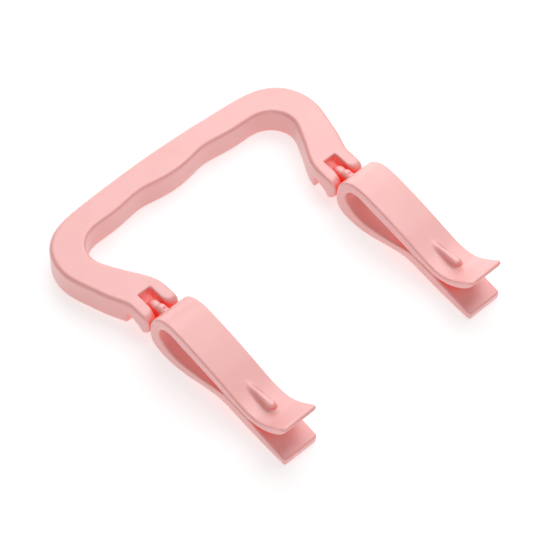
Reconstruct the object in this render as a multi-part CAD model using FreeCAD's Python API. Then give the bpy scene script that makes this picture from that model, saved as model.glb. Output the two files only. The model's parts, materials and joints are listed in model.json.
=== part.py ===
import FreeCAD, Part
import os, math
os.makedirs("parts", exist_ok=True)

V = FreeCAD.Vector

# ---------------------------------------------------------------- dimensions, mm
# Drawing frame: X across the grip, arms and clips towards -Y, Z through the
# handle's thickness with 0 at its middle. The assembly is tilted at the end so
# that it rests on the floor as it really lies.
thick = 10.8            # handle thickness
edge_r = 1.3            # softened edges of the handle
# half outline of the handle (+X side), poles of a uniform cubic B-spline
outer_poles = [(7.35, -2.45), (21.85, -3.05), (35.6, -3.8), (47.6, -5.05), (56.3, -11.7),
               (59.3, -23.25), (56.15, -32.5), (53.8, -41.2), (50.45, -47.2), (50.55, -53.4), (50.55, -59.6)]
inner_poles = [(3.25, -14.65), (9.4, -13.7), (15.0, -12.55), (21.1, -13.55), (27.6, -14.35),
               (33.3, -14.35), (38.4, -14.45), (43.1, -16.6), (46.1, -20.95), (46.45, -26.0),
               (44.05, -30.45), (41.4, -35.65), (38.0, -41.0), (35.8, -46.0), (35.75, -51.0), (35.75, -56.0)]
arm_x = 43.15           # centre of each forked end and of each clip
fork_half = 7.4         # half width of the fork
slot_half = 2.65        # half width of the slot for the lug
slot_back = -46.5       # back wall of the slot
hinge_y, hinge_z = -52.4, 0.35
# relief under the ears, from the wall where the arm's full thickness ends
relief = [(-46.6, 0.4), (-50.0, -1.3), (-51.9, -2.45), (-53.0, -3.7)]
ear_r = 4.6             # rounded end of each ear about the hinge
socket_r = 1.75         # pin socket in each ear
socket_depth = 2.4
pin_r = 1.70            # stub pin on the lug
pin_out = 2.2           # how far the stub pin reaches into the ear
lug_r = 3.9
lug_half = 1.95
neck_half = 1.8         # half width of the neck across X
clip_half = 7.5         # half width of the clip
clip_edge = 0.9         # softened edges of the clip
jaw_gap = 0.35          # rest gap between the two jaws
flex_y, flex_z = -60.35, 5.75   # where the loop flexes
flex_r = 1.90           # rounded root of the upper jaw
flex_seat = 1.95        # its seat
tilt = -1.7             # degrees about X, lays the part on the floor
shift_y = 62.519         # puts the origin under the middle of the box
shift_z = 5.33

# outer side of the clip, from the tip of the lower jaw round the loop to the lip
outer_side = [(-121.5, -8.93), (-116, -8.15), (-110, -7.1), (-104, -5.85), (-99, -4.65), (-94.5, -3.6),
              (-91.5, -3.3), (-88.5, -3.55), (-85, -4.25), (-80, -5.5), (-75, -6.72), (-71.5, -7.25),
              (-68.5, -7.36), (-65.4, -7.12), (-62.4, -6.5), (-59.95, -5.3), (-58.25, -3.5),
              (-57.62, -1.4), (-57.5, 1.0), (-57.7, 3.6), (-58.5, 6.7), (-60.4, 9.4), (-63.5, 11.35),
              (-67.1, 12.05), (-70.4, 11.8), (-74, 10.98), (-80, 9.45), (-85, 8.0), (-90, 6.45),
              (-94, 5.05), (-97.6, 3.8), (-101, 2.75), (-104.3, 2.1), (-107, 2.05), (-109.6, 2.55),
              (-112.5, 3.85), (-115.4, 5.8), (-118.0, 7.85), (-119.75, 9.3)]
# inner side: underside of the lip, bite, teardrop hole, bite, top of the lower jaw
lip_under = [(-121.3, 8.6), (-119.9, 6.5), (-117.9, 4.35), (-115.3, 2.4), (-112.6, 0.85), (-109.8, -0.2),
             (-107, -0.75), (-104, -0.72), (-101, -0.2), (-97, 0.55), (-93.5, 1.2)]
hole_upper = [(-93.5, 1.2), (-91.5, 1.7), (-88.5, 2.6), (-84, 3.8), (-79, 5.1), (-74, 6.3), (-70.5, 7.3),
              (-67.5, 7.9), (-64.8, 7.5), (-62.7, 5.7), (-61.75, 3.3), (-62.3, 1.3), (-64.2, -0.5),
              (-67.2, -2.0), (-70.7, -2.65), (-74.6, -2.6), (-79.3, -1.95), (-84, -1.05), (-88.5, -0.05),
              (-91.5, 0.55), (-93.5, 1.2 - jaw_gap)]
jaw_top = [(-93.5, 1.2 - jaw_gap), (-97, 0.55 - jaw_gap), (-101, -0.2 - jaw_gap), (-104, -0.8 - jaw_gap),
           (-107, -1.95), (-111, -3.1), (-116, -4.45), (-121.9, -5.95)]
# rib across the hollow before the lip: side profile and half width
rib_side = [(-96.6, 3.9), (-99, 4.1), (-101, 4.4), (-104.5, 4.7), (-107.5, 4.85), (-109.4, 4.55), (-110.3, 3.9),
            (-110.6, 3.1), (-109.8, 1.6), (-104.0, 0.8), (-97.0, 1.9)]
rib_from, rib_to = 0.75, 1.6
rib_end = -109.5


def bspline_points(poles, per=3):
    pts = []
    for k in range(len(poles) - 3):
        p0, p1, p2, p3 = poles[k:k + 4]
        for j in range(per):
            t = j / float(per)
            b = ((1 - t) ** 3 / 6, (3 * t ** 3 - 6 * t ** 2 + 4) / 6,
                 (-3 * t ** 3 + 3 * t ** 2 + 3 * t + 1) / 6, t ** 3 / 6)
            pts.append((b[0] * p0[0] + b[1] * p1[0] + b[2] * p2[0] + b[3] * p3[0],
                        b[0] * p0[1] + b[1] * p1[1] + b[2] * p2[1] + b[3] * p3[1]))
    return pts


def curve(points):
    c = Part.BSplineCurve()
    c.interpolate(points)
    return c.toShape()


def prism_x(pts_yz, x0, x1):
    w = Part.makePolygon([V(x0, y, z) for y, z in pts_yz] + [V(x0, pts_yz[0][0], pts_yz[0][1])])
    return Part.Face(w).extrude(V(x1 - x0, 0, 0))


def cyl_x(r, y, z, x0, x1):
    return Part.makeCylinder(r, x1 - x0, V(x0, y, z), V(1, 0, 0))


def soften(shape, radius, pick):
    edges = [e for e in shape.Edges if pick(e)]
    for r in (radius, radius * 0.75, radius * 0.5, radius * 0.3):
        try:
            out = shape.makeFillet(r, edges)
            if out.isValid() and out.Volume > 0.8 * shape.Volume:
                print("softened at", r)
                return out
        except Exception:
            pass
    print("left sharp")
    return shape


# ---------------------------------------------------------------- handle
def handle():
    tip = hinge_y - ear_r
    half_o = [(x, y) for x, y in bspline_points([(-x, y) for x, y in outer_poles[1::-1]] + outer_poles)
              if x > 0.5 and y > slot_back]
    half_i = [(x, y) for x, y in bspline_points([(-x, y) for x, y in inner_poles[1::-1]] + inner_poles)
              if x > 0.5 and y > slot_back + 1.0]
    out_x, in_x = arm_x + fork_half, arm_x - fork_half
    cr = 2.0
    outer = [V(-x, y, 0) for x, y in reversed(half_o)] + [V(x, y, 0) for x, y in half_o]
    inner = [V(x, y, 0) for x, y in reversed(half_i)] + [V(-x, y, 0) for x, y in half_i]
    outer = [V(-out_x, slot_back - 2, 0)] + outer + [V(out_x, slot_back - 2, 0)]
    inner = [V(in_x, slot_back - 2, 0)] + inner + [V(-in_x, slot_back - 2, 0)]
    edges = [curve(outer)]

    def arc(a, m, b):
        return Part.Arc(a, m, b).toShape()
    k = cr * (1 - math.sqrt(0.5))
    def foot(s):
        # from the outer edge round the tip to the inner edge on one side
        o, i = s * out_x, s * in_x
        pts = [V(o, slot_back - 2, 0), V(o, tip + cr, 0), V(o - s * k, tip + k, 0), V(o - s * cr, tip, 0),
               V(i + s * cr, tip, 0), V(i + s * k, tip + k, 0), V(i, tip + cr, 0), V(i, slot_back - 2, 0)]
        return [Part.makeLine(pts[0], pts[1]), arc(pts[1], pts[2], pts[3]), Part.makeLine(pts[3], pts[4]),
                arc(pts[4], pts[5], pts[6]), Part.makeLine(pts[6], pts[7])]
    edges += foot(1) + [curve(inner)] + foot(-1)
    wire = Part.Wire(Part.__sortEdges__(edges))
    body = Part.Face(wire).extrude(V(0, 0, thick))
    body.translate(V(0, 0, -thick / 2))
    if body.Volume < 0:
        body.reverse()
    body = soften(body, edge_r, lambda e: abs(e.BoundBox.ZLength) < 1e-6)
    for s in (1, -1):
        x0, x1 = s * arm_x - fork_half - 1, s * arm_x + fork_half + 1
        # everything outside the ears' side profile: eased top, round end, relief underneath
        P = lambda y, z: V(x0, y, z)
        sq = math.sqrt(ear_r ** 2 - 1.3 ** 2)
        low = (hinge_y - 1.3, hinge_z - sq)
        top_ease = curve([P(hinge_y, hinge_z + ear_r), P(hinge_y + 1.5, hinge_z + ear_r + 0.33),
                          P(hinge_y + 3.0, thick / 2 + 0.06)])
        end = Part.Arc(P(*low), P(hinge_y - ear_r, hinge_z), P(hinge_y, hinge_z + ear_r)).toShape()
        corner = Part.Arc(P(-46.6, -3.7), P(-46.1, -4.92), P(-44.85, -5.43)).toShape()
        chain = [P(*q) for q in relief[::-1]]
        lines = [Part.makeLine(p, q) for p, q in zip([P(*low)] + chain, chain)]
        rest = [P(-44.85, -5.43), P(-44.85, -9), P(-60, -9), P(-60, 9), P(-40, 9), P(-40, thick / 2 + 0.06),
                P(hinge_y + 3.0, thick / 2 + 0.06)]
        lines += [Part.makeLine(p, q) for p, q in zip(rest, rest[1:])]
        lines += [Part.makeLine(P(*relief[0]), P(-46.6, -3.7))]
        wire = Part.Wire(Part.__sortEdges__([top_ease, end, corner] + lines))
        body = body.cut(Part.Face(wire).extrude(V(x1 - x0, 0, 0)))
        # slot for the lug, its mouth flared
        xm, fr = s * arm_x, 1.5
        k = fr * (1 - math.sqrt(0.5))
        Z = lambda x, y: V(x, y, -10)
        slot = [Part.makeLine(Z(xm - slot_half, slot_back), Z(xm + slot_half, slot_back)),
                Part.makeLine(Z(xm + slot_half, slot_back), Z(xm + slot_half, tip + fr)),
                Part.Arc(Z(xm + slot_half, tip + fr), Z(xm + slot_half + k, tip + k),
                         Z(xm + slot_half + fr, tip - 0.02)).toShape(),
                Part.makeLine(Z(xm + slot_half + fr, tip - 0.02), Z(xm + slot_half + fr, tip - 3)),
                Part.makeLine(Z(xm + slot_half + fr, tip - 3), Z(xm - slot_half - fr, tip - 3)),
                Part.makeLine(Z(xm - slot_half - fr, tip - 3), Z(xm - slot_half - fr, tip - 0.02)),
                Part.Arc(Z(xm - slot_half - fr, tip - 0.02), Z(xm - slot_half - k, tip + k),
                         Z(xm - slot_half, tip + fr)).toShape(),
                Part.makeLine(Z(xm - slot_half, tip + fr), Z(xm - slot_half, slot_back))]
        body = body.cut(Part.Face(Part.Wire(Part.__sortEdges__(slot))).extrude(V(0, 0, 20)))
        # blind pin sockets
        xa = s * arm_x - slot_half - socket_depth
        body = body.cut(cyl_x(socket_r, hinge_y, hinge_z, xa, s * arm_x + slot_half + socket_depth))
    return body.removeSplitter()


# ---------------------------------------------------------------- clip
def clip_blank(xc):
    x0 = xc - clip_half
    P = lambda q: V(x0, q[0], q[1])
    outer = curve([P(q) for q in outer_side])
    under = curve([P(q) for q in lip_under])
    hole = curve([P(q) for q in hole_upper])
    top = curve([P(q) for q in jaw_top])
    lip_end = Part.Arc(P(outer_side[-1]), P((-121.0, 9.68)), P(lip_under[0])).toShape()
    tip_end = Part.Arc(P(jaw_top[-1]), P((-122.5, -7.5)), P(outer_side[0])).toShape()
    wire = Part.Wire(Part.__sortEdges__([outer, lip_end, under, hole, top, tip_end]))
    solid = Part.Face(wire).extrude(V(2 * clip_half, 0, 0))
    if solid.Volume < 0:
        solid.reverse()
    return soften(solid, clip_edge, lambda e: e.BoundBox.XLength < 1e-6 and e.Length > 100)


def upper_region(xc):
    ux, uz = 0.89, 0.456
    pts = [(flex_y + 6 * ux, flex_z + 6 * uz), (flex_y, flex_z), (flex_y - 2.6 * ux, flex_z - 2.6 * uz),
           (-68, 3.4), (-80, 1.9), (-91.5, 1.25), (-93.5, 1.2 - jaw_gap / 2), (-97, 0.55 - jaw_gap / 2),
           (-101, -0.2 - jaw_gap / 2), (-104, -0.77 - jaw_gap / 2), (-107, -1.45), (-112, -2.0),
           (-118, -0.6), (-128, 2), (-130, 22), (-52, 22)]
    return prism_x(pts, xc - 9, xc + 9)


def clip(xc):
    blank = clip_blank(xc)
    region = upper_region(xc)
    root = cyl_x(flex_r, flex_y, flex_z, xc - clip_half, xc + clip_half)
    seat = cyl_x(flex_seat, flex_y, flex_z, xc - 9, xc + 9)
    jaw = blank.common(region).fuse(root.common(blank))
    rib = prism_x(rib_side, xc - 3, xc + 3)
    yc = rib_end + rib_to
    foot = [V(xc + rib_from, -96, -5), V(xc + rib_to, yc, -5), V(xc, rib_end, -5), V(xc - rib_to, yc, -5),
            V(xc - rib_from, -96, -5)]
    edges = [Part.makeLine(foot[0], foot[1]), Part.Arc(foot[1], foot[2], foot[3]).toShape(),
             Part.makeLine(foot[3], foot[4]), Part.makeLine(foot[4], foot[0])]
    rib = rib.common(Part.Face(Part.Wire(edges)).extrude(V(0, 0, 20)))
    jaw = jaw.fuse(rib).removeSplitter()
    # relief so that the jaw can open, on the outside of its root
    a = math.radians(-17)
    ux, uz = 0.89, 0.456
    rx, rz = ux * math.cos(a) - uz * math.sin(a), ux * math.sin(a) + uz * math.cos(a)
    wedge = prism_x([(flex_y, flex_z), (flex_y + 6 * ux, flex_z + 6 * uz), (flex_y + 6 * rx, flex_z + 6 * rz)],
                    xc - 9, xc + 9)
    gap = prism_x([(flex_y, flex_z), (flex_y - 3 * ux, flex_z - 3 * uz),
                   (flex_y - 3 * ux + 0.15, flex_z - 3 * uz - 0.35), (flex_y + 0.15, flex_z - 0.35)],
                  xc - 9, xc + 9)
    base = blank.cut(region).cut(seat).cut(wedge).cut(gap)
    # lug, neck and the two stub pins
    lug = cyl_x(lug_r, hinge_y, hinge_z, xc - lug_half, xc + lug_half)
    lug = soften(lug, 1.3, lambda e: e.Length > 15)
    neck = prism_x([(-54.9, 5.3), (-53.7, 4.6), (-53.0, 3.4), (hinge_y, 1.0), (hinge_y, -2.45), (-58.9, -2.45),
                    (-58.9, 5.3)], xc - neck_half, xc + neck_half)
    neck = soften(neck, 1.1, lambda e: e.BoundBox.YLength > 5).cut(seat)
    pins = cyl_x(pin_r, hinge_y, hinge_z, xc - slot_half - pin_out, xc + slot_half + pin_out)
    base = base.fuse([lug, neck, pins]).removeSplitter()
    return base, jaw


def place(shape):
    s = shape.copy()
    s.rotate(V(0, 0, 0), V(1, 0, 0), tilt)
    s.translate(V(0, shift_y, shift_z))
    return s


right_base, right_jaw = clip(arm_x)
left_base = right_base.mirror(V(0, 0, 0), V(1, 0, 0))
left_jaw = right_jaw.mirror(V(0, 0, 0), V(1, 0, 0))
nodes = {"handle": handle(), "right_clip": right_base, "right_upper_jaw": right_jaw,
         "left_clip": left_base, "left_upper_jaw": left_jaw}
lo = [1e9] * 3
hi = [-1e9] * 3
for name, shape in nodes.items():
    s = place(shape)
    if s.ShapeType != "Solid" and len(s.Solids) == 1:
        s = s.Solids[0]
    for v in s.tessellate(0.05)[0]:
        for k, c in enumerate((v.x, v.y, v.z)):
            lo[k] = min(lo[k], c)
            hi[k] = max(hi[k], c)
    print(name, s.ShapeType, len(s.Solids), s.isValid(), round(s.Volume, 1), s.BoundBox)
    s.exportStep("parts/" + name + ".step")
print("box", [round(c, 3) for c in lo], [round(c, 3) for c in hi])
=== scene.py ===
import json
import math

import bmesh
import bpy
import numpy as np
from mathutils import Matrix, Vector


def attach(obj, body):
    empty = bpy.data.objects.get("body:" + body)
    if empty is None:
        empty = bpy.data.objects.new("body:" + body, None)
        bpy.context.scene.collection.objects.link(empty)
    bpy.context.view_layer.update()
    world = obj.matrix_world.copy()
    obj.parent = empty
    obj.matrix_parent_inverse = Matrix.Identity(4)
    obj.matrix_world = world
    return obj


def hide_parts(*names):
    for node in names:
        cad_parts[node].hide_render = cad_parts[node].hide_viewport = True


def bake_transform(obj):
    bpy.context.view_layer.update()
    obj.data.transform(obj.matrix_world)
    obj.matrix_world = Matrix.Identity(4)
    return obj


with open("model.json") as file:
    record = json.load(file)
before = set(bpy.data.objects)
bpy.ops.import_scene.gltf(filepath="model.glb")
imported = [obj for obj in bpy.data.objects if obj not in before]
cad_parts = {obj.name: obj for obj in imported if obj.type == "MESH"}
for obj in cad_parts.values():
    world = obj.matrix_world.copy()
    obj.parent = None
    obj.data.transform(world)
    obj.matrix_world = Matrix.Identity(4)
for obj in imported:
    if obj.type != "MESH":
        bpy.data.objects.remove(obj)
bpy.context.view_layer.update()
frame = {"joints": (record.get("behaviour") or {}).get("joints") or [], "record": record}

record = frame["record"]

# ------------------------------------------------------------------ the frame
# Everything is drawn in the part's own drawing frame, in mm: X across the grip,
# the clips towards -Y, Z through the handle with 0 at its middle. The packed
# record says where that frame lies: its tilt from the resting face, and its
# place from the hinge axis.
under = next(m for m in record["mounts"] if m["name"] == "underside")["axis"]
tilt = math.atan2(under[1], -under[2])
hinges = {j["name"]: j for j in frame["joints"]}
pin = hinges["right_clip_hinge"]["pos_m"]
flex = hinges["right_jaw_flex"]["pos_m"]
HINGE_Y, HINGE_Z = -52.4, 0.35
ct, st = math.cos(tilt), math.sin(tilt)
SHIFT_Y = pin[1] * 1000 - (HINGE_Y * ct - HINGE_Z * st)
SHIFT_Z = pin[2] * 1000 - (HINGE_Y * st + HINGE_Z * ct)
ARM_X = pin[0] * 1000


def placed(p):
    """Drawing frame in mm to the row frame in metres."""
    p = np.asarray(p, float)
    out = np.empty_like(p)
    out[..., 0] = p[..., 0]
    out[..., 1] = p[..., 1] * ct - p[..., 2] * st + SHIFT_Y
    out[..., 2] = p[..., 1] * st + p[..., 2] * ct + SHIFT_Z
    return out / 1000.0


def turned(v):
    return Vector((v[0], v[1] * ct - v[2] * st, v[1] * st + v[2] * ct))


fy, fz = flex[1] * 1000 - SHIFT_Y, flex[2] * 1000 - SHIFT_Z
FLEX = np.array([fy * ct + fz * st, -fy * st + fz * ct])     # (y, z) of the bend

# ------------------------------------------------------------------ shape data
THICK, EDGE = 10.8, 1.35
FORK_HALF, SLOT_HALF, SLOT_BACK = 7.4, 2.65, -46.5
EAR_R, SOCKET_R, SOCKET_DEPTH = 4.6, 1.75, 2.4
PIN_R, PIN_OUT, LUG_R, LUG_HALF, NECK_HALF = 1.62, 2.2, 3.9, 1.95, 1.8
CLIP_HALF, CLIP_EDGE, TIP_CORNER = 7.5, 0.75, 1.5

outer_poles = [(7.35, -2.45), (21.85, -3.05), (35.6, -3.8), (47.6, -5.05), (56.3, -11.7),
               (59.3, -23.25), (56.15, -32.5), (53.8, -41.2), (50.45, -47.2), (50.55, -53.4), (50.55, -59.6)]
inner_poles = [(3.25, -14.65), (9.4, -13.7), (15.0, -12.55), (21.1, -13.55), (27.6, -14.35),
               (33.3, -14.35), (38.4, -14.45), (43.1, -16.6), (46.1, -20.95), (46.45, -26.0),
               (44.05, -30.45), (41.4, -35.65), (38.0, -41.0), (35.8, -46.0), (35.75, -51.0), (35.75, -56.0)]

outer_side = [(-121.5, -8.93), (-116, -8.15), (-110, -7.1), (-104, -5.85), (-99, -4.65), (-94.5, -3.6),
              (-91.5, -3.3), (-88.5, -3.55), (-85, -4.25), (-80, -5.5), (-75, -6.72), (-71.5, -7.25),
              (-68.5, -7.36), (-65.4, -7.12), (-62.4, -6.5), (-59.95, -5.3), (-58.25, -3.5),
              (-57.62, -1.4), (-57.5, 1.0), (-57.7, 3.6), (-58.5, 6.7), (-60.4, 9.4), (-63.5, 11.35),
              (-67.1, 12.03), (-70.4, 11.78), (-74, 10.98), (-80, 9.45), (-85, 8.0), (-90, 6.45),
              (-94, 5.05), (-97.6, 3.8), (-101, 2.75), (-104.3, 2.1), (-107, 2.05), (-109.6, 2.55),
              (-112.5, 3.85), (-115.4, 5.8), (-118.0, 7.83), (-119.75, 9.26)]
# the bite is nearly closed here: the two jaws lie a hair apart
BITE = 0.10
MID = [(-93.5, 1.02), (-97, 0.37), (-101, -0.38), (-104, -0.95)]
lip_under = [(-121.3, 8.6), (-119.9, 6.5), (-117.9, 4.35), (-115.3, 2.4), (-112.6, 0.85), (-109.8, -0.2),
             (-107, -0.75)]
hole_upper = [(-91.5, 1.7), (-88.5, 2.6), (-84, 3.8), (-79, 5.1), (-74, 6.3), (-70.5, 7.3),
              (-67.5, 7.9), (-64.8, 7.5), (-62.7, 5.7), (-61.75, 3.3), (-62.3, 1.3), (-64.2, -0.5),
              (-67.2, -2.0), (-70.7, -2.65), (-74.6, -2.6), (-79.3, -1.95), (-84, -1.05), (-88.5, -0.05),
              (-91.5, 0.55)]
jaw_top = [(-107, -1.95), (-111, -3.1), (-116, -4.45), (-121.9, -5.95)]
inner_side = (lip_under + [(y, z + BITE / 2) for y, z in MID[::-1]] + hole_upper
              + [(y, z - BITE / 2) for y, z in MID] + jaw_top)


def bspline(poles, per=6):
    pts = []
    for k in range(len(poles) - 3):
        p = np.array(poles[k:k + 4], float)
        for j in range(per):
            t = j / per
            b = np.array([(1 - t) ** 3, 3 * t ** 3 - 6 * t ** 2 + 4, -3 * t ** 3 + 3 * t ** 2 + 3 * t + 1, t ** 3]) / 6
            pts.append(b @ p)
    return np.array(pts)


def through(points, step=0.35):
    """A smooth curve through the points (centripetal Catmull-Rom), evenly stepped."""
    p = np.array(points, float)
    p = np.vstack([2 * p[0] - p[1], p, 2 * p[-1] - p[-2]])
    out = []
    for k in range(len(p) - 3):
        a, b, c, d = p[k:k + 4]
        t0 = 0.0
        t1 = t0 + np.linalg.norm(b - a) ** 0.5
        t2 = t1 + np.linalg.norm(c - b) ** 0.5
        t3 = t2 + np.linalg.norm(d - c) ** 0.5
        n = max(2, int(np.linalg.norm(c - b) / step))
        for t in np.linspace(t1, t2, n, endpoint=False):
            A1 = (t1 - t) / (t1 - t0) * a + (t - t0) / (t1 - t0) * b
            A2 = (t2 - t) / (t2 - t1) * b + (t - t1) / (t2 - t1) * c
            A3 = (t3 - t) / (t3 - t2) * c + (t - t2) / (t3 - t2) * d
            B1 = (t2 - t) / (t2 - t0) * A1 + (t - t0) / (t2 - t0) * A2
            B2 = (t3 - t) / (t3 - t1) * A2 + (t - t1) / (t3 - t1) * A3
            out.append((t2 - t) / (t2 - t1) * B1 + (t - t1) / (t2 - t1) * B2)
    out.append(p[-2])
    return np.array(out)


# ------------------------------------------------------------------ distance fields
class Outline:
    """Signed distance to a closed outline in a plane, tabled on a fine grid."""

    def __init__(self, poly, pitch=0.12, margin=3.0):
        poly = np.asarray(poly, float)
        self.lo = poly.min(0) - margin
        n = np.ceil((poly.max(0) + margin - self.lo) / pitch).astype(int) + 1
        self.pitch, self.n = pitch, n
        gx = self.lo[0] + pitch * np.arange(n[0])
        gy = self.lo[1] + pitch * np.arange(n[1])
        a, b = poly, np.roll(poly, -1, 0)
        keep = np.linalg.norm(b - a, axis=1) > 1e-9
        a, b = a[keep].astype(np.float32), b[keep].astype(np.float32)
        e = b - a
        ee = (e ** 2).sum(1)
        table = np.empty((n[0], n[1]), np.float32)
        Y = gy.astype(np.float32)[:, None]
        for i, x in enumerate(gx.astype(np.float32)):
            px, py = x - a[:, 0][None], Y - a[:, 1][None]
            t = np.clip((px * e[:, 0] + py * e[:, 1]) / ee, 0, 1)
            d = np.sqrt(((px - t * e[:, 0]) ** 2 + (py - t * e[:, 1]) ** 2).min(1))
            cross = ((a[:, 1][None] > Y) != (b[:, 1][None] > Y))
            with np.errstate(divide="ignore", invalid="ignore"):
                xi = a[:, 0] + (Y - a[:, 1]) * e[:, 0] / e[:, 1]
            inside = (cross & (x < xi)).sum(1) % 2 == 1
            table[i] = np.where(inside, -d, d)
        self.table = table

    def __call__(self, u, v):
        x = np.clip((u - self.lo[0]) / self.pitch, 0, self.n[0] - 1.001)
        y = np.clip((v - self.lo[1]) / self.pitch, 0, self.n[1] - 1.001)
        i, j = x.astype(int), y.astype(int)
        fx, fy_ = x - i, y - j
        T = self.table
        return ((T[i, j] * (1 - fx) + T[i + 1, j] * fx) * (1 - fy_)
                + (T[i, j + 1] * (1 - fx) + T[i + 1, j + 1] * fx) * fy_)


def slab(d, w, half, r):
    """Outline distance d given thickness 2*half along w, with edges rounded by r."""
    a, b = d + r, np.abs(w) - half + r
    return np.sqrt(np.maximum(a, 0) ** 2 + np.maximum(b, 0) ** 2) + np.minimum(np.maximum(a, b), 0) - r


def join(a, b, k):
    h = np.clip(0.5 + 0.5 * (b - a) / k, 0, 1)
    return b * (1 - h) + a * h - k * h * (1 - h)


def meet(a, b, k):
    return -join(-a, -b, k)


def rod(x, y, z, half, r, edge, cy=HINGE_Y, cz=HINGE_Z):
    return slab(np.hypot(y - cy, z - cz) - r, x, half, edge)


def nets(field, lo, hi, h):
    """Surface nets on a grid, then relaxed along the surface: even quads with vertices on it."""
    lo, hi = np.array(lo, float), np.array(hi, float)
    n = np.ceil((hi - lo) / h).astype(int) + 1
    ax = [lo[k] + h * np.arange(n[k]) for k in range(3)]
    X, Y, Z = np.meshgrid(*ax, indexing="ij")
    F = field(X.ravel(), Y.ravel(), Z.ravel()).reshape(X.shape)
    del X, Y, Z
    S = F < 0
    c = n - 1
    corners = [(a, b, d) for a in (0, 1) for b in (0, 1) for d in (0, 1)]
    cnt = sum(S[a:c[0] + a, b:c[1] + b, d:c[2] + d].astype(np.int8) for a, b, d in corners)
    active = (cnt > 0) & (cnt < 8)
    I, J, K = np.nonzero(active)
    index = -np.ones(active.shape, np.int64)
    index[active] = np.arange(len(I))
    acc, num = np.zeros((len(I), 3)), np.zeros(len(I))
    for p in corners:
        for k in range(3):
            if p[k]:
                continue
            q = list(p); q[k] = 1
            fa, fb = F[I + p[0], J + p[1], K + p[2]], F[I + q[0], J + q[1], K + q[2]]
            m = (fa < 0) != (fb < 0)
            t = np.where(m, fa / np.where(m, fa - fb, 1), 0)
            pt = np.array(p, float)[None] + t[:, None] * (np.array(q) - np.array(p))[None]
            acc[m] += pt[m]
            num[m] += 1
    P = (acc / num[:, None] + np.stack([I, J, K], 1)) * h + lo
    quads = []
    for k in range(3):
        u, v = (k + 1) % 3, (k + 2) % 3
        sl0 = [slice(None)] * 3; sl1 = [slice(None)] * 3
        sl0[k], sl1[k] = slice(0, -1), slice(1, None)
        A, B = S[tuple(sl0)], S[tuple(sl1)]
        E = np.array(np.nonzero(A != B)).T
        E = E[(E[:, u] > 0) & (E[:, v] > 0) & (E[:, u] < c[u]) & (E[:, v] < c[v])]
        flip = A[tuple(E.T)]
        def cell(du, dv):
            G = E.copy(); G[:, u] -= du; G[:, v] -= dv
            return index[tuple(G.T)]
        q = np.stack([cell(1, 1), cell(0, 1), cell(0, 0), cell(1, 0)], 1)
        q[~flip] = q[~flip][:, ::-1]
        quads.append(q)
    Q = np.vstack(quads)
    E = np.vstack([Q[:, [a, (a + 1) % 4]] for a in range(4)])
    E = np.unique(np.sort(E, 1), axis=0)

    def grad(P):
        e = 0.04
        f0 = field(P[:, 0], P[:, 1], P[:, 2])
        g = np.empty_like(P)
        for k in range(3):
            D = P.copy(); D[:, k] += e
            D2 = P.copy(); D2[:, k] -= e
            g[:, k] = (field(D[:, 0], D[:, 1], D[:, 2]) - field(D2[:, 0], D2[:, 1], D2[:, 2])) / (2 * e)
        return f0, g

    def snap(P):
        f0, g = grad(P)
        step = f0[:, None] * g / np.maximum((g ** 2).sum(1), 0.3)[:, None]
        size = np.linalg.norm(step, axis=1, keepdims=True)
        return P - step * np.minimum(1, 0.3 * h / np.maximum(size, 1e-9)), g

    P, _ = snap(P)
    deg = np.bincount(E.ravel(), minlength=len(P)).astype(float)[:, None]
    for it in range(6):
        A = np.zeros_like(P)
        for k in range(3):
            A[:, k] = (np.bincount(E[:, 0], P[E[:, 1], k], len(P)) + np.bincount(E[:, 1], P[E[:, 0], k], len(P)))
        move = 0.5 * (A / deg - P)
        _, g = grad(P)
        g /= np.maximum(np.linalg.norm(g, axis=1), 1e-6)[:, None]
        P = P + move - (move * g).sum(1)[:, None] * g
        P, _ = snap(P)
    for it in range(2):
        P, _ = snap(P)
    return P, Q


def make(name, P, Q, material, mirror=False, cut=None):
    """A mesh object in the row frame. cut = (point yz, direction yz, side): trims at a flat section and closes it."""
    me = bpy.data.meshes.new(name)
    P = P.copy()
    if mirror:
        P[:, 0] *= -1
        Q = Q[:, ::-1]
    me.from_pydata(P.tolist(), [], Q.tolist())
    if cut is not None:
        bm = bmesh.new()
        bm.from_mesh(me)
        (cy, cz), (dy, dz), side = cut
        near = [f for f in bm.faces if f.calc_center_median().y > cy - 7.0]
        geom = near + list({v for f in near for v in f.verts}) + list({e for f in near for e in f.edges})
        bmesh.ops.bisect_plane(bm, geom=geom, plane_co=(0, cy, cz), plane_no=(0, dy, dz), dist=0.004)
        gone = [f for f in bm.faces if f.calc_center_median().y > cy - 7.0 and
                side * ((f.calc_center_median().y - cy) * dy + (f.calc_center_median().z - cz) * dz) < 0]
        bmesh.ops.delete(bm, geom=gone, context="FACES")
        rim = [e for e in bm.edges if e.is_boundary]
        filled = bmesh.ops.holes_fill(bm, edges=rim, sides=0)
        bmesh.ops.triangulate(bm, faces=filled["faces"])
        for e in rim:
            e.smooth = False
        bm.to_mesh(me)
        bm.free()
    co = np.empty(len(me.vertices) * 3)
    me.vertices.foreach_get("co", co)
    me.vertices.foreach_set("co", placed(co.reshape(-1, 3)).ravel())
    me.polygons.foreach_set("use_smooth", [True] * len(me.polygons))
    me.materials.append(material)
    me.update()
    ob = bpy.data.objects.new(name, me)
    bpy.context.scene.collection.objects.link(ob)
    return ob


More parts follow.
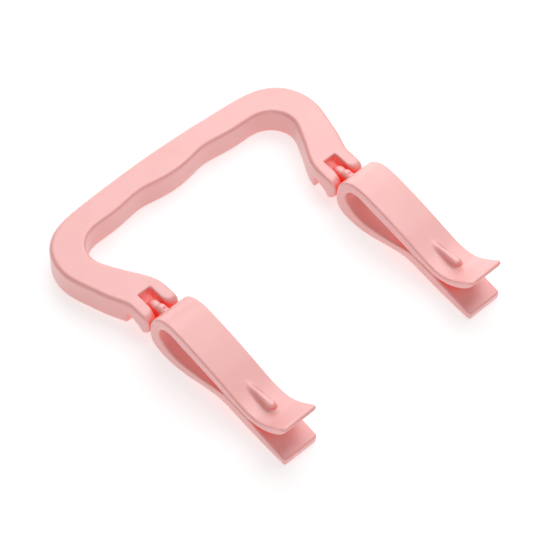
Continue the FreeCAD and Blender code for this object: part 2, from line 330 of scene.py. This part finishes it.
# ------------------------------------------------------------------ materials
def plastic(name, pale, deep, grain):
    m = bpy.data.materials.new(name)
    m.use_nodes = True
    nt = m.node_tree
    N, L = nt.nodes, nt.links
    b = N["Principled BSDF"]
    b.inputs["IOR"].default_value = 1.50
    b.inputs["Specular IOR Level"].default_value = 0.9
    b.inputs["Subsurface Weight"].default_value = 0.15
    b.inputs["Subsurface Radius"].default_value = (1.0, 0.32, 0.24)
    b.inputs["Subsurface Scale"].default_value = 0.0010
    b.inputs["Coat Weight"].default_value = 1.0
    b.inputs["Coat Roughness"].default_value = 0.38
    b.inputs["Coat IOR"].default_value = 1.6
    tc = N.new("ShaderNodeTexCoord")
    # slow drift of the pigment through the moulding
    drift = N.new("ShaderNodeTexNoise")
    drift.inputs["Scale"].default_value = 38.0
    drift.inputs["Detail"].default_value = 3.0
    L.new(tc.outputs["Object"], drift.inputs["Vector"])
    ramp = N.new("ShaderNodeValToRGB")
    ramp.color_ramp.elements[0].position, ramp.color_ramp.elements[1].position = 0.30, 0.72
    ramp.color_ramp.elements[0].color = (*deep, 1)
    ramp.color_ramp.elements[1].color = (*pale, 1)
    L.new(drift.outputs["Fac"], ramp.inputs["Fac"])
    # painted bounce light: where a slot or loop is occluded, the base colour is painted a deeper red, standing in for
    # light that bounces about inside
    nook = N.new("ShaderNodeAmbientOcclusion")
    nook.samples = 8
    nook.inputs["Distance"].default_value = 0.008
    depth = N.new("ShaderNodeMapRange")
    depth.inputs["From Min"].default_value, depth.inputs["From Max"].default_value = 0.20, 0.68
    depth.inputs["To Min"].default_value, depth.inputs["To Max"].default_value = 1.0, 0.0
    L.new(nook.outputs["AO"], depth.inputs["Value"])
    painted_bounce_tint = N.new("ShaderNodeMix")
    painted_bounce_tint.data_type = "RGBA"
    # but not where it is only the floor that lies close
    split = N.new("ShaderNodeSeparateXYZ")
    L.new(tc.outputs["Object"], split.inputs["Vector"])
    lift = N.new("ShaderNodeMapRange")
    lift.inputs["From Min"].default_value, lift.inputs["From Max"].default_value = 0.0012, 0.0060
    lift.inputs["To Min"].default_value, lift.inputs["To Max"].default_value = 0.12, 1.0
    L.new(split.outputs["Z"], lift.inputs["Value"])
    inside = N.new("ShaderNodeMath")
    inside.operation = "MULTIPLY"
    L.new(depth.outputs["Result"], inside.inputs[0])
    L.new(lift.outputs["Result"], inside.inputs[1])
    L.new(inside.outputs["Value"], painted_bounce_tint.inputs["Factor"])
    L.new(ramp.outputs["Color"], painted_bounce_tint.inputs[6])
    # deep red of the painted bounce light
    painted_bounce_tint.inputs[7].default_value = (1.0, 0.10, 0.065, 1)
    L.new(painted_bounce_tint.outputs[2], b.inputs["Base Color"])
    # painted glow: a faint red emission in the same occluded places, more painted bounce light
    painted_bounce_glow = N.new("ShaderNodeMath")
    painted_bounce_glow.operation = "MULTIPLY"
    painted_bounce_glow.inputs[1].default_value = 0.08
    L.new(inside.outputs["Value"], painted_bounce_glow.inputs[0])
    b.inputs["Emission Color"].default_value = (1.0, 0.10, 0.05, 1)
    L.new(painted_bounce_glow.outputs["Value"], b.inputs["Emission Strength"])
    # satin: fine moulded grain, slightly uneven gloss
    gloss = N.new("ShaderNodeTexNoise")
    gloss.inputs["Scale"].default_value = 160.0
    gloss.inputs["Detail"].default_value = 4.0
    L.new(tc.outputs["Object"], gloss.inputs["Vector"])
    rr = N.new("ShaderNodeMapRange")
    rr.inputs["From Min"].default_value, rr.inputs["From Max"].default_value = 0.3, 0.7
    rr.inputs["To Min"].default_value, rr.inputs["To Max"].default_value = 0.40, 0.50
    L.new(gloss.outputs["Fac"], rr.inputs["Value"])
    L.new(rr.outputs["Result"], b.inputs["Roughness"])
    fine = N.new("ShaderNodeTexNoise")
    fine.inputs["Scale"].default_value = grain
    fine.inputs["Detail"].default_value = 2.0
    L.new(tc.outputs["Object"], fine.inputs["Vector"])
    wave = N.new("ShaderNodeTexNoise")
    wave.inputs["Scale"].default_value = 260.0
    wave.inputs["Detail"].default_value = 1.0
    L.new(tc.outputs["Object"], wave.inputs["Vector"])
    b1 = N.new("ShaderNodeBump")
    b1.inputs["Strength"].default_value = 0.10
    b1.inputs["Distance"].default_value = 0.00012
    L.new(fine.outputs["Fac"], b1.inputs["Height"])
    b2 = N.new("ShaderNodeBump")
    b2.inputs["Strength"].default_value = 0.18
    b2.inputs["Distance"].default_value = 0.00025
    L.new(wave.outputs["Fac"], b2.inputs["Height"])
    L.new(b1.outputs["Normal"], b2.inputs["Normal"])
    L.new(b2.outputs["Normal"], b.inputs["Normal"])
    return m


handle_mat = plastic("pink_satin_handle", (0.890, 0.398, 0.380), (0.870, 0.376, 0.356), 2600.0)
clip_mat = plastic("pink_satin_clip", (0.920, 0.410, 0.390), (0.900, 0.385, 0.364), 2600.0)

# ------------------------------------------------------------------ handle
tip = HINGE_Y - EAR_R
oo = bspline([(-x, y) for x, y in outer_poles[1::-1]] + outer_poles)
oo = oo[(oo[:, 0] > 0.05) & (oo[:, 1] > -48.5)]
ii = bspline([(-x, y) for x, y in inner_poles[1::-1]] + inner_poles)
ii = ii[(ii[:, 0] > 0.05) & (ii[:, 1] > -48.5)]
cr = 2.6
q = np.radians(np.linspace(0, 90, 9))
ox, ix = ARM_X + FORK_HALF, ARM_X - FORK_HALF
foot = np.vstack([np.column_stack([ox - cr + cr * np.cos(q), tip + cr - cr * np.sin(q)]),
                  np.column_stack([ix + cr - cr * np.sin(q), tip + cr - cr * np.cos(q)])])
half = np.vstack([oo, foot, ii[::-1]])
mirrored = half[::-1] * [-1, 1]
plan = Outline(np.vstack([half, mirrored]))

a = np.radians(np.linspace(90, 253, 28))
ear = np.column_stack([HINGE_Y + EAR_R * np.cos(a), HINGE_Z + EAR_R * np.sin(a)])
relief = through([tuple(ear[-1]), (-53.0, -3.7), (-51.9, -2.45), (-50.0, -1.3), (-46.6, 0.4)])[1:]
k = 1.3
q = np.radians(np.linspace(0, 90, 9))
low_corner = np.column_stack([-46.6 + k - k * np.cos(q), -5.4 + k - k * np.sin(q)])
ease = through([(-47.6, 5.75), (-49.2, 5.42), (-50.9, 5.15), tuple(ear[0])])
side = Outline(np.vstack([[(14.0, 14.0), (-47.0, 14.0)], ease[:-1], ear, relief, low_corner,
                          [(-30.0, -5.4), (-29.0, -14.0), (14.0, -14.0)]]), margin=3.0)


def handle_field(x, y, z):
    ax = np.abs(x)
    f = slab(plan(ax, y), z, THICK / 2, EDGE)
    f = meet(f, np.where(y < -36, side(y, z), -3.0), 0.7 + 0.3 * np.clip((-49.0 - y) / 3.0, 0, 1))
    slot = slab(np.maximum(np.abs(ax - ARM_X) - SLOT_HALF, (y - SLOT_BACK)), z, 40, 0.1)
    mouth = np.clip((-52.0 - y) / 3.0, 0, 1)
    f = meet(f, -slot, 0.5 + 2.0 * mouth)
    socket = rod(ax - ARM_X, y, z, SLOT_HALF + SOCKET_DEPTH, SOCKET_R, 0.2)
    return meet(f, -socket, 0.25)


H = 0.45
P, Q = nets(handle_field, (-60.2, -59.2, -6.6), (60.2, -0.5, 6.6), H)
handle = make("handle_grip", P, Q, handle_mat)
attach(handle, "handle")
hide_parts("handle")

# ------------------------------------------------------------------ clips
out_curve = through(outer_side)
in_curve = through(inner_side)


def rounded_end(a, b, bulge):
    """A soft end between two points of the strip."""
    a, b = np.array(a), np.array(b)
    m, d = (a + b) / 2, (b - a) / 2
    n = np.array([d[1], -d[0]])
    n = n / np.linalg.norm(n) * bulge
    t = np.linspace(0, math.pi, 11)[1:-1]
    return np.array([m - d * math.cos(s) + n * math.sin(s) ** 0.8 for s in t])


lip_end = rounded_end(outer_side[-1], lip_under[0], 0.6)
tip_end = rounded_end(jaw_top[-1], outer_side[0], 0.75)
if lip_end[len(lip_end) // 2][0] > -120.6:
    lip_end = rounded_end(outer_side[-1], lip_under[0], -0.6)
if tip_end[len(tip_end) // 2][0] > -121.7:
    tip_end = rounded_end(jaw_top[-1], outer_side[0], -0.75)

# the strip is cut in two at a flat section just before the bend
T = np.array([-0.45, 0.893])               # along the wall at the bend
SEAM = FLEX - 2.5 * T
over = 1.6                                 # each half is drawn a little past the section, then trimmed


def index_near(curve, p, lo_, hi_):
    k = np.arange(len(curve))
    d = np.linalg.norm(curve - p, axis=1)
    d[(k < lo_ * len(curve)) | (k > hi_ * len(curve))] = 1e9
    return int(np.argmin(d))


across = np.array([T[1], -T[0]])
so = out_curve[index_near(out_curve, SEAM + 1.6 * across, 0.2, 0.8)]
si = in_curve[index_near(in_curve, SEAM - 1.6 * across, 0.2, 0.8)]
ko = index_near(out_curve, so, 0, 1)
ki = index_near(in_curve, si, 0, 1)
m = int(over / 0.33)
lower_poly = np.vstack([out_curve[:ko + m], in_curve[ki - m:], tip_end])
upper_poly = np.vstack([out_curve[ko - m:], lip_end, in_curve[:ki + m]])
lower = Outline(lower_poly)
upper = Outline(upper_poly)


def plan_trim(f, x, y, end, corner):
    """Rounds the strip's two corners at its free end, seen from above."""
    u, v = np.abs(x) - CLIP_HALF + corner, (end + corner) - y
    d = np.sqrt(np.maximum(u, 0) ** 2 + np.maximum(v, 0) ** 2) - corner + np.minimum(np.maximum(u, v), 0)
    return meet(f, d, 0.5)


def neck_field(x, y, z):
    lug = rod(x, y, z, LUG_HALF, LUG_R, 1.6)
    # the neck: a knuckle that stands a little prouder than the lug
    u, v = np.abs(y + 56.5) - 3.3 + 2.0, np.abs(z - 1.42) - 3.86 + 2.0
    d = np.sqrt(np.maximum(u, 0) ** 2 + np.maximum(v, 0) ** 2) - 2.0 + np.minimum(np.maximum(u, v), 0)
    f = join(lug, slab(d, x, NECK_HALF, 1.5), 0.5)
    stub = rod(x, y, z, SLOT_HALF + PIN_OUT, PIN_R, 0.35)
    return join(f, stub, 0.3)


def lower_field(x, y, z):
    f = slab(lower(y, z), x, CLIP_HALF, CLIP_EDGE)
    f = plan_trim(f, x, y, -122.2, TIP_CORNER)
    return join(f, neck_field(x, y, z), 0.6)


def rib_field(x, y, z):
    """The stiffening rib across the hollow of the lip: a keel that starts thin and ends blunt."""
    end, w0, w1, r = -109.5, 0.75, 1.6, 0.95
    w = w0 + (w1 - w0) * np.clip((-97.0 - y) / (-97.0 - end - w1), 0, 1)
    d = np.where(y < end + w1, np.hypot(x, y - end - w1) - w1, np.abs(x) - w)
    top = np.interp(-y, [96.0, 99.0, 101.0, 104.5, 107.5, 109.4, 110.5], [3.6, 4.05, 4.3, 4.65, 4.8, 4.5, 3.9])
    a, b = d + r, z - top + r
    f = np.sqrt(np.maximum(a, 0) ** 2 + np.maximum(b, 0) ** 2) + np.minimum(np.maximum(a, b), 0) - r
    return np.maximum(f, np.maximum(1.0 - z, y + 96.0))


def upper_field(x, y, z):
    f = slab(upper(y, z), x, CLIP_HALF, CLIP_EDGE)
    f = plan_trim(f, x, y, -121.8, TIP_CORNER + 0.8)
    f = join(f, neck_field(x, y, z), 0.6)
    return join(f, rib_field(x, y, z), 1.3)


HC = 0.42
Pl, Ql = nets(lower_field, (-8.4, -124.0, -10.2), (8.4, -47.4, 7.4), HC)
Pu, Qu = nets(upper_field, (-8.4, -125.2, -2.6), (8.4, -56.4, 12.8), HC)
for sx, sign in (("right", 1), ("left", -1)):
    A, B = Pl.copy(), Pu.copy()
    A[:, 0] += ARM_X
    B[:, 0] += ARM_X
    base = make(sx + "_clip_body", A, Ql, clip_mat, mirror=sign < 0, cut=(SEAM, T, -1))
    jaw = make(sx + "_clip_lip", B, Qu, clip_mat, mirror=sign < 0, cut=(SEAM, T, 1))
    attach(base, sx + "_clip")
    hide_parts(sx + "_clip")
    s = placed(np.array([sign * ARM_X, *SEAM]))
    e = placed(np.array([sign * ARM_X, *(FLEX + 5.0 * T)]))
    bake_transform(jaw)
    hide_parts(sx + "_upper_jaw")

# ------------------------------------------------------------------ stage
floor_me = bpy.data.meshes.new("floor")
floor_me.from_pydata([(-3, -3, 0), (3, -3, 0), (3, 3, 0), (-3, 3, 0)], [], [(0, 1, 2, 3)])
floor = bpy.data.objects.new("floor", floor_me)
bpy.context.scene.collection.objects.link(floor)
fm = bpy.data.materials.new("pale_floor")
fm.use_nodes = True
fb = fm.node_tree.nodes["Principled BSDF"]
fb.inputs["Base Color"].default_value = (0.55, 0.55, 0.55, 1)
fb.inputs["Roughness"].default_value = 0.9
fb.inputs["Emission Color"].default_value = (1, 1, 1, 1)
fb.inputs["Emission Strength"].default_value = 0.58
floor_me.materials.append(fm)

world = bpy.data.worlds.new("soft_world")
bpy.context.scene.world = world
world.use_nodes = True
bg = world.node_tree.nodes["Background"]
bg.inputs["Color"].default_value = (1.0, 0.99, 0.985, 1)
bg.inputs["Strength"].default_value = 0.38


def softbox(name, at, towards, size, watts, colour=(1, 1, 1)):
    li = bpy.data.lights.new(name, "AREA")
    li.shape, li.size = "DISK", size
    li.energy, li.color = watts, colour
    ob = bpy.data.objects.new(name, li)
    ob.location = at
    ob.rotation_mode = "QUATERNION"
    ob.rotation_quaternion = (Vector(towards) - Vector(at)).to_track_quat("-Z", "Y")
    bpy.context.scene.collection.objects.link(ob)
    return ob


softbox("key_behind", (0.38, 0.21, 0.72), (0, 0, 0), 0.90, 4.7)
softbox("backdrop", (0.60, 1.05, 0.22), (0, 0, 0), 1.00, 4.5)
softbox("front_fill", (-0.50, -0.62, 0.34), (0, 0, 0), 0.60, 1.0)

# ------------------------------------------------------------------ camera
AZ, EL, ROLL = math.radians(-44.931), math.radians(51.779), math.radians(1.589)
DIST, FOCAL, TX, TY = 789.04, 2341.80, -3.729, -68.603
R = np.array([math.cos(AZ), math.sin(AZ), 0])
U = np.array([-math.sin(AZ) * math.sin(EL), math.cos(AZ) * math.sin(EL), math.cos(EL)])
B = np.array([math.sin(AZ) * math.cos(EL), -math.cos(AZ) * math.cos(EL), math.sin(EL)])
R2 = R * math.cos(ROLL) + U * math.sin(ROLL)
U2 = -R * math.sin(ROLL) + U * math.cos(ROLL)
C = np.array([TX, TY, 0]) + B * DIST
cam_data = bpy.data.cameras.new("camera")
cam_data.sensor_width = 36.0
cam_data.lens = 36.0 * FOCAL / 551.0
cam = bpy.data.objects.new("camera", cam_data)
bpy.context.scene.collection.objects.link(cam)
r, u, b = turned(R2), turned(U2), turned(B)
cam.matrix_world = Matrix(((r.x, u.x, b.x, 0), (r.y, u.y, b.y, 0), (r.z, u.z, b.z, 0), (0, 0, 0, 1)))
cam.location = Vector(placed(C))
cam_data.clip_start, cam_data.clip_end = 0.01, 20
bpy.context.scene.camera = cam
bpy.context.scene.view_settings.view_transform = "Standard"
bpy.context.scene.view_settings.look = "None"
